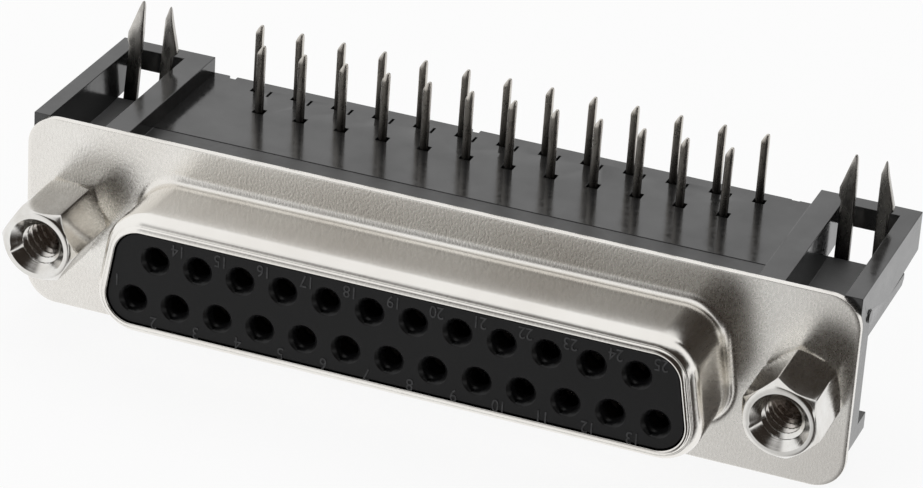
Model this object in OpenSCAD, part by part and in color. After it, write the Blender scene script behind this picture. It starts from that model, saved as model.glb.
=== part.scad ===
// Right-angle board connector with a D-shaped shell: 25 socket contacts in rows of 12 and 13.
// X runs along the connector, -Y faces the plug and +Z is the side the solder tails leave on.
// The origin lies between the two jack sockets, in the plane of their outer faces.

/* [Contacts] */
// Distance between neighbouring contacts of a row
pitch = 2.76; // [2.74:0.01:2.77]
// Distance between the two rows
row_gap = 2.84; // [2.8:0.01:2.88]
// Diameter of an opening at the insulator face
mouth_d = 1.62; // [1.5:0.02:1.7]
// Outside diameter of the socket barrel
barrel_d = 1.7; // [1.6:0.02:1.76]
// Width of the square solder tail
tail_width = 0.5; // [0.46:0.01:0.54]
// Distance from the flange to the nearer row of tails
tail_row_y = 9.15; // [9.0:0.05:9.4]
// Length of the tails beyond the board face
tail_reach = 3.45; // [3.2:0.05:4.0]

/* [Shell] */
// Thickness of the drawn sheet
sheet = 0.45; // [0.4:0.01:0.5]
// Distance from the last contact of the longer row to the widest point of the D nose
contact_margin = 2.63; // [2.6:0.01:2.7]
// Distance from a row of contacts to the long side of the nose
row_margin = 2.53; // [2.48:0.01:2.6]
// Radius of the four corners of the D, outside
nose_corner_r = 2.6; // [2.4:0.05:2.8]
// How far the nose stands out of the flange
nose_reach = 5.85; // [5.7:0.01:6.0]
// Radius of the fillet between flange and nose
root_r = 0.5; // [0.4:0.05:0.6]
// Radius of the round-over at the front of the nose
front_r = 1.1; // [1.0:0.02:1.2]
// Width of the lip that is turned in at the front
lip_width = 0.88; // [0.8:0.01:0.95]
// Height of the flange above and below the nose
flange_rim = 2.325; // [2.275:0.025:2.425]
// How far the flange stands out past the end blocks
flange_margin = 0.17; // [0.1:0.01:0.3]
// Radius of the flange corners
flange_corner_r = 2.0; // [1.4:0.1:2.4]

/* [Screw locks] */
// Distance from the widest point of the nose to a jack socket
screw_margin = 4.33; // [4.28:0.01:4.45]
// Width across the flats of a jack socket
hex_flats = 4.46; // [4.4:0.01:4.8]
// Length of the hexagon in front of the flange
hex_length = 4.75; // [4.5:0.05:5.1]
// Major diameter of the screw thread, 4-40
thread_d = 2.845; // [2.8:0.005:2.9]
// How far the left hexagon was turned when it was tightened, in degrees
left_turn = -2; // [-30:0.5:30]
// How far the right hexagon was turned
right_turn = -19.5; // [-30:0.5:30]

/* [Board locks] */
// Thickness of the bracket sheet
lock_sheet = 0.4; // [0.35:0.01:0.42]
// Width over the barbs of the fork
barb_width = 3.4; // [3.3:0.02:3.46]
// Length of the fork beyond the board face
lock_reach = 4.05; // [3.9:0.05:4.2]

/* [Housing] */
// Height of the board face above the contact axis
board_z = 6.2; // [6.1:0.02:6.26]
// Distance from the far row of tails to the back of the end blocks
back_margin = 1.21; // [1.16:0.01:1.4]
// Room between a barb and the pocket wall
pocket_gap = 0.1; // [0.08:0.01:0.14]
// How far the pocket is moved towards the tails
pocket_shift = 0.07; // [0.04:0.01:0.07]
// Thickness of the moulded wall between the pocket and the tails
inner_wall = 1.65; // [1.55:0.01:1.7]
// Thickness of the moulded wall at the outside
outer_wall = 1.1; // [1.0:0.02:1.2]
// Depth of the pocket floor below the board face
pocket_depth = 2.8; // [2.6:0.05:2.9]
// Depth of the tail plate below the board face
plate_drop = 1.07; // [0.95:0.01:1.15]
// Thickness of the tail plate
plate_thickness = 1.0; // [0.9:0.05:1.1]

/* [Hidden] */
lower_count = 13;
upper_count = 12;
eps = 0.01;
$fn = 48;

nose_width = (lower_count - 1) * pitch + 2 * contact_margin;
nose_height = row_gap + 2 * row_margin;
screw_spacing = nose_width + 2 * screw_margin;
pocket_half = barb_width / 2 + pocket_gap;
block_inner_x = screw_spacing / 2 - pocket_half - pocket_shift - inner_wall;
block_outer_x = screw_spacing / 2 + pocket_half - pocket_shift + outer_wall;
flange_length = 2 * (block_outer_x + flange_margin);
flange_height = nose_height + 2 * flange_rim;

side_slope = 10;
slope_tan = tan(side_slope);
slope_cos = cos(side_slope);
half_height = nose_height / 2;
// Corner centres of the D; the wide side lies at -Z, the narrow one at +Z.
wide_y = -half_height + nose_corner_r;
narrow_y = half_height - nose_corner_r;
wide_x = nose_width / 2 - nose_corner_r;
narrow_x = wide_x - (narrow_y - wide_y) * slope_tan;

flange_y = hex_length;
lip_start = 0.38 - lip_width;
lap = 0.006;
front_depth = nose_reach - 0.18;
front_centre = front_depth - sqrt(front_r * front_r - pow(front_r + lip_start, 2));
screw_hole_r = thread_d / 2 + 0.1775;
thread_root_r = thread_d / 2 - 0.2325;

insulator_gap = 0.05;
face_recess = 0.13;
collar_margin = 0.9;
collar_depth = 1.0;
collar_gap = 0.03;
bore_r = 0.62;
mouth_depth = 0.55;
barrel_front = 4.85;
cavity_r = barrel_d / 2 + 0.07;

shank_w = tail_width;
bend_r = 0.35;
upper_z = row_gap / 2;
lower_z = -row_gap / 2;
far_row_y = tail_row_y + row_gap;

block_back = far_row_y + back_margin;
wall_y = 2.75;
foot_y = 4.4;
foot_z = -4.2;
foot_top = -3.1;
skirt_front_z = board_z - 3.1;
skirt_back_z = board_z - 2.55;
floor_z = board_z - pocket_depth;
floor_slab = 0.7;
pocket_back = block_back - 1.2;
back_bar = 1.4;
centre_bottom = -5.6;
block_rear = 7.0;
shelf_back = 4.05;
plate_z = board_z - plate_drop;
shelf_z = plate_z - 0.03;
plate_bottom = plate_z - plate_thickness;
ledge = 0.7;

lock_y = tail_row_y + row_gap / 2;
lock_bend = 0.3;
lock_top = floor_z - floor_slab;
floor_back = lock_y - lock_sheet / 2 - 0.07;
lock_plate_half = 2.3;
lock_arm_half = barb_width / 2 - 0.1;
prong_inner = 0.7;
barb_step = 0.35;
stem_step = 0.15;
nut_r = 2.0;
nut_length = 1.75;

function name_of(i) = str("contact_", i < 10 ? "0" : "", i);

// Turns a front view, drawn in X and Y with depth along Z, to face the plug at the flange.
module facing() translate([0, flange_y, 0]) rotate([90, 0, 0]) children();

// A side profile of [Y from the flange, Z] points, carried along X from x0 to x1.
module side_prism(x0, x1)
    translate([x0, flange_y, 0]) rotate([90, 0, 90]) linear_extrude(x1 - x0) children();

// A plain box given by its limits, Y counted from the flange.
module slab(x, y, z) translate([x[0], flange_y + y[0], z[0]]) cube([x[1] - x[0], y[1] - y[0], z[1] - z[0]]);

// Outline of the D moved outwards by n.
module d_outline(n) {
    r = nose_corner_r + n;
    ax = r * slope_cos;
    ay = r * sin(side_slope);
    for (s = [-1, 1]) {
        translate([s * wide_x, wide_y]) circle(r);
        translate([s * narrow_x, narrow_y]) circle(r);
    }
    polygon([[-wide_x, wide_y - r], [wide_x, wide_y - r], [wide_x + ax, wide_y + ay],
             [narrow_x + ax, narrow_y + ay], [narrow_x, narrow_y + r], [-narrow_x, narrow_y + r],
             [-narrow_x - ax, narrow_y + ay], [-wide_x - ax, wide_y + ay]]);
}

// Section of the drawn wall: X is the distance outside the D outline, Y the depth in front of the flange.
// Each face lies n outside its nominal place.
module wall_section(n) {
    difference() {
        intersection() {
            translate([root_r, root_r]) circle(root_r + sheet + n);
            translate([-sheet - n, -sheet - n]) square(root_r + sheet + n);
        }
        translate([root_r, root_r]) circle(root_r - n);
    }
    translate([-sheet - n, root_r]) square([sheet + 2 * n, front_centre - root_r]);
    difference() {
        intersection() {
            translate([-front_r, front_centre]) circle(front_r + n);
            translate([lip_start, front_centre]) square(front_r + n);
        }
        translate([-front_r, front_centre]) circle(front_r - sheet - n);
    }
    // The lip itself, pressed flat towards the insulator behind a faint crease.
    polygon([[lip_start + 0.05, front_depth - 0.06 + n], [-lip_width - n, nose_reach + n],
             [-lip_width - n, nose_reach - sheet - n], [lip_start + 0.05, front_depth - sheet - n]]);
}

// Carries the wall section once round the D. The corners stand a trace proud of the straight runs and
// reach a degree past them, so that all eight lengths fuse into one wall.
module d_wall() {
    over = 1;
    for (s = [0, 1]) mirror([s, 0, 0]) {
        translate([wide_x, wide_y, 0]) rotate_extrude(angle = 90 + side_slope + 2 * over, start = -90 - over)
            translate([nose_corner_r, 0]) wall_section(2 * lap);
        translate([narrow_x, narrow_y, 0])
            rotate_extrude(angle = 90 - side_slope + 2 * over, start = side_slope - over)
                translate([nose_corner_r, 0]) wall_section(2 * lap);
        translate([wide_x, wide_y, 0]) rotate([0, 0, side_slope]) translate([nose_corner_r, 0, 0])
            rotate([90, 0, 0]) mirror([0, 0, 1]) linear_extrude(norm([wide_x - narrow_x, narrow_y - wide_y]))
                wall_section(lap);
    }
    translate([wide_x, wide_y - nose_corner_r, 0]) rotate([0, 0, -90]) rotate([90, 0, 0])
        linear_extrude(2 * wide_x) wall_section(lap);
    translate([-narrow_x, narrow_y + nose_corner_r, 0]) rotate([0, 0, 90]) rotate([90, 0, 0])
        linear_extrude(2 * narrow_x) wall_section(lap);
}

module front_shell() {
    lx = flange_length / 2 - flange_corner_r;
    ly = flange_height / 2 - flange_corner_r;
    color([0.74, 0.73, 0.7]) facing() {
        translate([0, 0, -sheet]) linear_extrude(sheet) difference() {
            union() {
                for (sx = [-1, 1], sy = [-1, 1]) translate([sx * lx, sy * ly]) circle(flange_corner_r);
                square([2 * lx, flange_height], center = true);
                square([flange_length, 2 * ly], center = true);
            }
            d_outline(root_r - 3 * lap);
            for (s = [-1, 1]) translate([s * screw_spacing / 2, 0]) circle(screw_hole_r);
        }
        d_wall();
    }
}

// Places of the contacts in the front view, numbered as they are on the insulator.
function contact_x(i) = i <= lower_count
    ? (i - 1 - (lower_count - 1) / 2) * pitch
    : (i - lower_count - 1 - (upper_count - 1) / 2) * pitch;
function contact_z(i) = i <= lower_count ? lower_z : upper_z;
function tail_y(i) = i <= lower_count ? far_row_y : tail_row_y;

module front_insulator() {
    face = nose_reach - face_recess;
    step = front_centre - 0.1;
    color([0.13, 0.13, 0.14]) facing() difference() {
        union() {
            translate([0, 0, -sheet - collar_depth]) linear_extrude(collar_depth - collar_gap)
                d_outline(collar_margin);
            translate([0, 0, -sheet - collar_gap - eps]) linear_extrude(step + sheet + collar_gap + eps)
                d_outline(-sheet - insulator_gap);
            translate([0, 0, step - eps]) linear_extrude(face - step + eps)
                d_outline(-lip_width - 2 * insulator_gap);
        }
        for (i = [1 : lower_count + upper_count]) translate([contact_x(i), contact_z(i), 0]) {
            translate([0, 0, face - mouth_depth]) cylinder(h = mouth_depth, r1 = bore_r, r2 = mouth_d / 2);
            translate([0, 0, face]) cylinder(h = 1, r = mouth_d / 2);
            cylinder(h = nose_reach, r = bore_r);
            translate([0, 0, -sheet - collar_depth - 1])
                cylinder(h = barrel_front + 0.05 + sheet + collar_depth + 1, r = cavity_r);
        }
    }
}

// The end block on the +X side: two walls, pocket floor, back bar, the wall behind the flange and its foot.
module end_block() {
    skirt = [[sheet, board_z], [block_back, board_z], [block_back, skirt_back_z], [wall_y, skirt_front_z],
             [wall_y, foot_top], [foot_y, foot_top], [foot_y, foot_z], [sheet, foot_z]];
    web = [[sheet, floor_z], [floor_back, floor_z], [floor_back, floor_z - floor_slab / 2],
           [floor_back - floor_slab / 2, floor_z - floor_slab], [wall_y, floor_z - floor_slab],
           [wall_y, foot_top], [foot_y, foot_top], [foot_y, foot_z], [sheet, foot_z]];
    difference() {
        union() {
            side_prism(block_inner_x, block_inner_x + inner_wall) polygon(skirt);
            side_prism(block_outer_x - outer_wall, block_outer_x) polygon(skirt);
            side_prism(block_inner_x, block_outer_x) polygon(web);
            slab([block_inner_x, block_outer_x], [pocket_back, block_back], [board_z - back_bar, board_z]);
            // Ledge that carries the end of the tail plate.
            slab([block_inner_x - ledge, block_inner_x + eps], [shelf_back - eps, block_back],
                 [plate_bottom - ledge, plate_bottom]);
            // Witness of the ejector pin on the outer wall.
            translate([block_outer_x - eps, flange_y + 2.4, board_z - 2.0]) rotate([0, 90, 0])
                cylinder(h = 0.12, r = 0.4);
        }
        translate([screw_spacing / 2, flange_y, 0]) rotate([-90, 0, 0]) cylinder(h = 6, r = screw_hole_r);
    }
}

module rear_housing() {
    collar_seat = collar_margin + 0.04;
    color([0.11, 0.11, 0.115]) difference() {
        union() {
            for (s = [0, 1]) mirror([s, 0, 0]) end_block();
            slab([-block_inner_x - eps, block_inner_x + eps], [sheet, wall_y], [centre_bottom, shelf_z]);
            slab([-block_inner_x - eps, block_inner_x + eps], [wall_y - eps, shelf_back],
                 [plate_bottom - ledge, shelf_z]);
            // Body that holds the contact shanks, with the ledge in front of the tail plate.
            slab([-block_inner_x + 0.4, block_inner_x - 0.4], [wall_y - eps, block_rear],
                 [foot_z, plate_bottom - ledge + eps]);
            slab([-block_inner_x, block_inner_x], [shelf_back - eps, shelf_back + ledge],
                 [plate_bottom - ledge, plate_bottom]);
        }
        facing() translate([0, 0, -sheet - collar_depth]) linear_extrude(collar_depth + 1)
            d_outline(collar_seat);
        for (i = [1 : lower_count + upper_count])
            translate([contact_x(i) - shank_w / 2 - 0.03, flange_y, contact_z(i) - shank_w / 2 - 0.03])
                cube([shank_w + 0.06, block_rear + 1, shank_w + 0.06]);
    }
}

module tail_organiser() {
    hole = tail_width + 0.1;
    wide = tail_width + 0.26;
    notch = 0.5;
    shallow = 0.08;
    color([0.12, 0.12, 0.125]) difference() {
        slab([-block_inner_x, block_inner_x], [shelf_back, block_back], [plate_bottom, plate_z]);
        for (i = [1 : lower_count + upper_count])
            translate([contact_x(i) - wide / 2, flange_y + tail_y(i) - hole / 2, plate_bottom - 1])
                cube([wide, hole + (i > lower_count ? 0.1 : 0), plate_thickness + 2]);
        // Short relief slits behind the nearer row of tails.
        for (i = [lower_count + 1 : lower_count + upper_count])
            translate([contact_x(i) - 0.55, flange_y + far_row_y - 0.6, plate_z - 0.3]) cube([0.16, 0.8, 1]);
        // Latch notches along the back edge.
        for (at = [[1.3 - block_inner_x, 0.35], [-0.8 * pitch, 0.35], [block_inner_x - 1.5, shallow]])
            translate([at[0] - notch / 2, flange_y + block_back - at[1], plate_bottom - 1])
                cube([notch, 1, plate_thickness + 2]);
    }
}

// A stamped socket: slotted barrel, square shank, bend and pointed solder tail.
module contact(i) {
    w = shank_w;
    back = tail_y(i);
    base = contact_z(i);
    tip = board_z + tail_reach;
    point = 0.85;
    seat = sheet + collar_depth;
    color([0.72, 0.7, 0.66]) translate([contact_x(i), flange_y, 0]) {
        difference() {
            translate([0, seat, base]) rotate([90, 0, 0]) cylinder(h = barrel_front + seat, r = barrel_d / 2);
            translate([0, seat - 1.2, base]) rotate([90, 0, 0]) cylinder(h = barrel_front + seat, r = 0.52);
            translate([-0.11, -barrel_front - 1, base - 2]) cube([0.22, barrel_front + 0.4, 4]);
        }
        translate([-w / 2, seat - eps, base - w / 2]) cube([w, back - bend_r - w / 2 - seat + eps, w]);
        translate([-w / 2, back - bend_r - w / 2, base + bend_r + w / 2]) rotate([90, 0, 90])
            rotate_extrude(angle = 90, start = -90) translate([bend_r, 0]) square(w);
        translate([-w / 2, back - w / 2, base + bend_r + w / 2])
            cube([w, w, tip - point - base - bend_r - w / 2]);
        intersection() {
            translate([0, back + w, tip]) rotate([90, 0, 0]) linear_extrude(2 * w) tail_point(w, point, w / 5);
            translate([-w, back, tip]) rotate([90, 0, 90]) linear_extrude(2 * w) tail_point(w, point, 0);
        }
    }
}

// One view of the pointed end of a tail, down from its tip, which lies that far to one side of the middle.
module tail_point(w, point, aside) {
    right = point * (0.9 - 2.6 * aside / w);
    polygon([[-w / 2, -point], [w / 2, -point], [w / 2, -right], [aside + 0.11, -0.09], [aside + 0.05, 0],
             [aside - 0.05, 0], [aside - 0.11, -0.09], [-w / 2, -point * 0.9]]);
}

// Bracket with the threaded plate behind the flange, an arm under the pocket floor and the barbed fork. Both
// locks are the same stamping, whose right prong has its barb lower and its stem slimmer than the left one.
module board_lock() {
    t = lock_sheet;
    r = lock_bend;
    plate_y = wall_y;
    arm_end = lock_y - t / 2 - r;
    low = lock_top + r;
    tip = board_z + lock_reach;
    barb = barb_width / 2;
    color([0.66, 0.65, 0.62]) difference() {
        translate([screw_spacing / 2, 0, 0]) {
            side_prism(-lock_plate_half, lock_plate_half)
                translate([plate_y, foot_top]) square([t, lock_top - t - r - foot_top - 0.6]);
            side_prism(-lock_arm_half, lock_arm_half) {
                translate([plate_y, lock_top - t - r - 0.7]) square([t, 0.7]);
                difference() {
                    intersection() {
                        translate([plate_y + t + r, lock_top - t - r]) circle(r + t);
                        translate([plate_y, lock_top - t - r]) square(r + t);
                    }
                    translate([plate_y + t + r, lock_top - t - r]) circle(r);
                }
                translate([plate_y + t + r, lock_top - t]) square([arm_end - plate_y - t - r, t]);
            }
            for (s = [0, 1]) mirror([s, 0, 0]) {
                stem = lock_arm_half - (1 - s) * stem_step;
                hook = board_z + 1.25 - (1 - s) * barb_step;
                side_prism(prong_inner, lock_arm_half) difference() {
                    intersection() {
                        translate([arm_end, low]) circle(r + t);
                        translate([arm_end, low - r - t]) square(r + t);
                    }
                    translate([arm_end, low]) circle(r);
                }
                translate([0, flange_y + lock_y + t / 2, 0]) rotate([90, 0, 0]) linear_extrude(t)
                    polygon([[prong_inner, low], [lock_arm_half, low], [stem, floor_z],
                             [stem - 0.05, hook - 0.3], [barb, hook], [barb, hook + 0.35 + 0.2 * s],
                             [prong_inner + 0.36, tip - 0.16], [prong_inner + 0.24, tip],
                             [prong_inner + 0.14, tip - 0.14], [prong_inner, tip - 0.85 + 0.6 * s]]);
            }
        }
        translate([screw_spacing / 2, flange_y, 0]) rotate([-90, 0, 0]) cylinder(h = 6, r = screw_hole_r);
    }
}

module board_lock_left() translate([-screw_spacing, 0, 0]) board_lock();
module board_lock_right() board_lock();

// A hexagonal jack socket: threaded bore in front, threaded shank through the flange behind. The bore is
// drawn at the major diameter of the thread, the end that the nut grips at the minor one.
module jack_socket(turn) {
    corner_r = hex_flats / 2 / cos(30);
    ring_r = hex_flats / 2 - 0.055;
    bevel = 0.55;
    mouth_r = thread_d / 2 + 0.28;
    color([0.78, 0.77, 0.74]) facing() difference() {
        union() {
            rotate([0, 0, turn]) intersection() {
                cylinder(h = hex_length, r = corner_r, $fn = 6);
                union() {
                    cylinder(h = hex_length - bevel + eps, r = corner_r + 0.1);
                    translate([0, 0, hex_length - bevel]) cylinder(h = bevel, r1 = corner_r, r2 = ring_r);
                }
            }
            translate([0, 0, -wall_y - lock_sheet])
                cylinder(h = wall_y + lock_sheet + 1, r = thread_d / 2 - 0.02);
            translate([0, 0, -wall_y - lock_sheet - nut_length + 0.05])
                cylinder(h = nut_length + 1, r = thread_root_r);
        }
        translate([0, 0, 0.45]) cylinder(h = hex_length, r = thread_d / 2);
        translate([0, 0, hex_length - 0.3]) cylinder(h = 0.3, r1 = thread_d / 2, r2 = mouth_r);
    }
}

module jack_socket_left() translate([-screw_spacing / 2, 0, 0]) jack_socket(left_turn);
module jack_socket_right() translate([screw_spacing / 2, 0, 0]) jack_socket(right_turn);

module lock_nut() {
    color([0.7, 0.69, 0.66]) translate([screw_spacing / 2, flange_y + wall_y + lock_sheet, 0])
        rotate([-90, 0, 0]) difference() {
            cylinder(h = nut_length, r = nut_r);
            translate([0, 0, -1]) cylinder(h = nut_length + 2, r = thread_root_r + 0.02);
        }
}

module lock_nut_left() mirror([1, 0, 0]) lock_nut();
module lock_nut_right() lock_nut();

front_shell();
front_insulator();
rear_housing();
tail_organiser();
for (i = [1 : lower_count + upper_count])
    contact(i);
board_lock_left();
board_lock_right();
jack_socket_left();
jack_socket_right();
lock_nut_left();
lock_nut_right();
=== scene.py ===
import math
import bmesh
import bpy
import numpy as np
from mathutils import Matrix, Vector


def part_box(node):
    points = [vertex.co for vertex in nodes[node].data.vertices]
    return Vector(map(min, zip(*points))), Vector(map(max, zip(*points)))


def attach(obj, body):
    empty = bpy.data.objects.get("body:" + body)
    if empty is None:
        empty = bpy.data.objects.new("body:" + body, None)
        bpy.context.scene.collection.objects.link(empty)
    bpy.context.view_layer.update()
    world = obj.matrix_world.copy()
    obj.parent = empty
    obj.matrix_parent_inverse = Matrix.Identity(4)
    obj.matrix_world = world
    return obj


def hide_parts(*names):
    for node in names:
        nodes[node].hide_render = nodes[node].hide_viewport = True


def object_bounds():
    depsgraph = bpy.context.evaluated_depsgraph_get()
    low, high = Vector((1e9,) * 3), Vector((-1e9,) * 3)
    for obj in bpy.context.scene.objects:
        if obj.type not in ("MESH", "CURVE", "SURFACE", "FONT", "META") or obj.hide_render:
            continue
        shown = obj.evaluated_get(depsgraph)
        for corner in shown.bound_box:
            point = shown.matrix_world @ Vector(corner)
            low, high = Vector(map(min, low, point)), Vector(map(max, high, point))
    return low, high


# The connector as it was packed. Every piece below is made in metres in the same frame: X along the
# connector, -Y towards the plug, +Z the side the solder tails leave on.
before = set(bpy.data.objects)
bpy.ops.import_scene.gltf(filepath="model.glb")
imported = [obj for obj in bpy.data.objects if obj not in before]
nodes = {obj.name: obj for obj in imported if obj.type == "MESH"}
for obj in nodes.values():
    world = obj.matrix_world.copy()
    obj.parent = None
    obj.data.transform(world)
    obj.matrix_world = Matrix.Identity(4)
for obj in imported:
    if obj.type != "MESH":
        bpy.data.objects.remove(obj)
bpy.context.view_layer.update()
mm = 0.001

# ---------------------------------------------------------------------------------------------
# Camera: a long lens, from above and to the right of the plug side, held with a slight roll.
lens = bpy.data.cameras.new("lens")
lens.lens = 158.18
lens.sensor_width = 36.0
lens.clip_start, lens.clip_end = 0.005, 20.0
camera = bpy.data.objects.new("camera", lens)
bpy.context.scene.collection.objects.link(camera)
camera.location = (0.07374, -0.19672, 0.11173)
camera.rotation_euler = [math.radians(a) for a in (63.240, -3.409, 21.322)]
bpy.context.scene.camera = camera

# ---------------------------------------------------------------------------------------------
# Front shell: the flange and the D-shaped nose, deep drawn from one sheet of steel and nickel plated.
# The drawing left a satin grain on the flange, lengthwise streaks on the rolled front edge and a lip
# that is turned in over the insulator. The two jack sockets clamp it to the housing.
shell_low, shell_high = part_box("front_shell")
sheet = 0.45 * mm
flange_y = shell_high.y - sheet
nose_r = 2.6 * mm                       # corner radius of the D, outside
nose_half_x, nose_half_z = 19.19 * mm, 3.95 * mm
side_slope = math.radians(10)
root_r, front_r = 0.6 * mm, 1.1 * mm
flare = 0.10 * mm                       # how much the nose opens towards its mouth
lip_width, lip_start = 0.88 * mm, 0.5 * mm
nose_reach = flange_y - shell_low.y
front_depth = nose_reach - 0.18 * mm
front_centre = front_depth - math.sqrt(front_r ** 2 - (front_r - lip_start) ** 2)
flange_corner_r = 2.0 * mm
arc_steps, run_steps = 20, 10           # steps round each corner and along each straight of an outline


def rounded_outline(corners, steps, runs):
    """Places and outward directions round a closed outline of arcs joined by straight runs.

    A corner is (x, z, radius, first angle, last angle) in degrees. Each arc gets steps + 1 points at equal
    angles, and each straight run between two arcs gets runs - 1 more, evenly spaced."""
    arcs = []
    for x, z, r, first, last in corners:
        a = np.radians(np.linspace(first, last, steps + 1))
        n = np.stack([np.cos(a), np.sin(a)], 1)
        arcs.append((np.array([x, z]) + r * n, n))
    places, ways = [], []
    for k, (p, n) in enumerate(arcs):
        q, m = arcs[(k + 1) % len(arcs)]
        t = np.linspace(0, 1, runs + 1)[1:-1, None]
        places += [p, p[-1] + t * (q[0] - p[-1])]
        ways += [n, n[-1] + t * (m[0] - n[-1])]
    return np.concatenate(places), np.concatenate(ways)


def sheet_piece(name, sheets):
    """One closed mesh from pairs of a grid of points and whether its rows form a ring.

    A grid is (rows, columns, 3), and its columns close on themselves. The rows of a ring close too, and
    others end in a row shrunk to a point or a line. A grid with a negative volume has its faces turned."""
    points, faces, count = [], [], 0
    for grid, ring in sheets:
        rows, cols = grid.shape[:2]
        i = np.arange(rows if ring else rows - 1)[:, None]
        j = np.arange(cols)[None, :]
        i2, j2 = (i + 1) % rows, (j + 1) % cols
        quad = np.stack([i * cols + j, i * cols + j2, i2 * cols + j2, i2 * cols + j], -1).reshape(-1, 4)
        flat = grid.reshape(-1, 3)
        a, b, c, d = (flat[quad[:, k]] for k in range(4))
        volume = (np.cross(a, b) * c).sum() + (np.cross(a, c) * d).sum()
        if volume < 0:
            quad = quad[:, ::-1]
        points.append(flat)
        faces.append(quad + count)
        count += len(flat)
    mesh = bpy.data.meshes.new(name)
    mesh.from_pydata(np.concatenate(points).tolist(), [], np.concatenate(faces).tolist())
    made = bmesh.new()
    made.from_mesh(mesh)
    bmesh.ops.remove_doubles(made, verts=made.verts, dist=1e-8)
    bmesh.ops.dissolve_degenerate(made, edges=made.edges, dist=1e-8)
    made.to_mesh(mesh)
    made.free()
    mesh.polygons.foreach_set("use_smooth", np.full(len(mesh.polygons), True))
    piece = bpy.data.objects.new(name, mesh)
    bpy.context.scene.collection.objects.link(piece)
    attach(piece, "root")
    return piece


def stand(xz, y):
    """Puts a front view (columns of x and z) at depth y, as a row of points of the row frame."""
    return np.stack([xz[:, 0], np.broadcast_to(y, xz.shape[:1]), xz[:, 1]], 1)


wide_z, narrow_z = nose_r - nose_half_z, nose_half_z - nose_r
wide_x = nose_half_x - nose_r
narrow_x = wide_x - (narrow_z - wide_z) * math.tan(side_slope)
nose_line, nose_out = rounded_outline(
    [(wide_x, wide_z, nose_r, -90, 10), (narrow_x, narrow_z, nose_r, 10, 90),
     (-narrow_x, narrow_z, nose_r, 90, 170), (-wide_x, wide_z, nose_r, 170, 270)], arc_steps, run_steps)


def flange_line(inset):
    """The flange's outline, inset by that much, with the same count of points as the nose."""
    r = flange_corner_r - inset
    x, z = shell_high.x - flange_corner_r, shell_high.z - flange_corner_r
    return rounded_outline([(x, -z, r, -90, 0), (x, z, r, 0, 90), (-x, z, r, 90, 180), (-x, -z, r, 180, 270)],
                           arc_steps, run_steps)[0]


def arc(x, y, r, first, last, n):
    """Points (x, y) of a circular arc between two angles in degrees."""
    a = np.radians(np.linspace(first, last, n))
    return np.stack([x + r * np.cos(a), y + r * np.sin(a)], 1)


roll = math.degrees(math.acos((front_r - lip_start) / front_r))
outside = np.concatenate([
    arc(root_r, root_r, root_r, -90, -180, 12),
    [(0, root_r + (front_centre - root_r) * t) for t in (0.04, 0.35, 0.65, 0.96)],
    arc(-front_r, front_centre, front_r, 0, roll - 3, 18),
    [(-lip_start + 0.02 * mm, front_depth - 0.035 * mm), (-lip_start - 0.02 * mm, front_depth - 0.045 * mm),
     (-lip_start - 0.05 * mm, front_depth), (-lip_start - 0.1 * mm, nose_reach - 0.06 * mm),
     (-lip_width + 0.1 * mm, nose_reach - 0.004 * mm), (-lip_width + 0.04 * mm, nose_reach - 0.008 * mm),
     (-lip_width + 0.01 * mm, nose_reach - 0.04 * mm), (-lip_width, nose_reach - 0.09 * mm)]])
inside = np.concatenate([
    [(-lip_width, nose_reach - sheet)],
    arc(-front_r, front_centre, front_r - sheet, roll - 14, 0, 10),
    [(-sheet, front_centre * 0.5)],
    arc(root_r, root_r, root_r + sheet, -180, -90, 10)])
for wall in (outside, inside):
    wall[:, 0] -= flare * np.clip(1 - wall[:, 1] / front_centre, 0, 1)
rows = [stand(nose_line + n * nose_out, flange_y - d) for n, d in outside]
root_line = nose_line + (root_r - flare) * nose_out
# The rim's section: how far inside the flange's outline, and how far behind its front face, in mm.
rim = [(0.05, 0.0), (0.03, 0.005), (0.014, 0.016), (0.004, 0.034), (0.0, 0.055), (0.0, 0.40),
       (0.01, 0.435), (0.03, 0.45)]
edge = [stand(flange_line(i * mm), flange_y + d * mm) for i, d in rim]


def across(t, y):
    """A row of the flat flange: the share t of the way from the nose's root to the rim."""
    return stand(root_line + t * (flange_line(0.05 * mm) - root_line), y)


back = [across(t, flange_y + sheet) for t in (0.97, 0.5, 0.03)]
front = [across(t, flange_y) for t in (0.97, 0.75, 0.5, 0.25, 0.03)]
rows = np.array(edge + back + [stand(nose_line + n * nose_out, flange_y - d) for n, d in inside[::-1]]
                + rows[::-1] + front[::-1])
shell = sheet_piece("drawn_shell", [(rows, True)])
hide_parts("front_shell")


def adder(tree):
    """A short way to add nodes to a tree: an input is given a value, or the socket it is wired to."""
    def add(kind, inputs=(), **settings):
        node = tree.nodes.new(kind)
        for key, value in settings.items():
            setattr(node, key, value)
        for key, value in dict(inputs).items():
            if isinstance(value, bpy.types.NodeSocket):
                tree.links.new(value, node.inputs[key])
            else:
                node.inputs[key].default_value = value
        return node
    return add


def node_graph(name):
    """A new material with its shader, and a short way to add and wire nodes."""
    made = bpy.data.materials.new(name)
    made.use_nodes = True
    return made, made.node_tree.nodes["Principled BSDF"], adder(made.node_tree)


def two_tone(add, factor, dark, pale, first=0.0, last=1.0):
    """A colour that goes from dark to pale as the factor goes from first to last."""
    ramp = add("ShaderNodeValToRGB", {"Fac": factor})
    for element, place, colour in zip(ramp.color_ramp.elements, (first, last), (dark, pale)):
        element.position, element.color = place, (*colour, 1)
    return ramp.outputs["Color"]


def link(material, out, socket):
    material.node_tree.links.new(out, socket)


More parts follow.
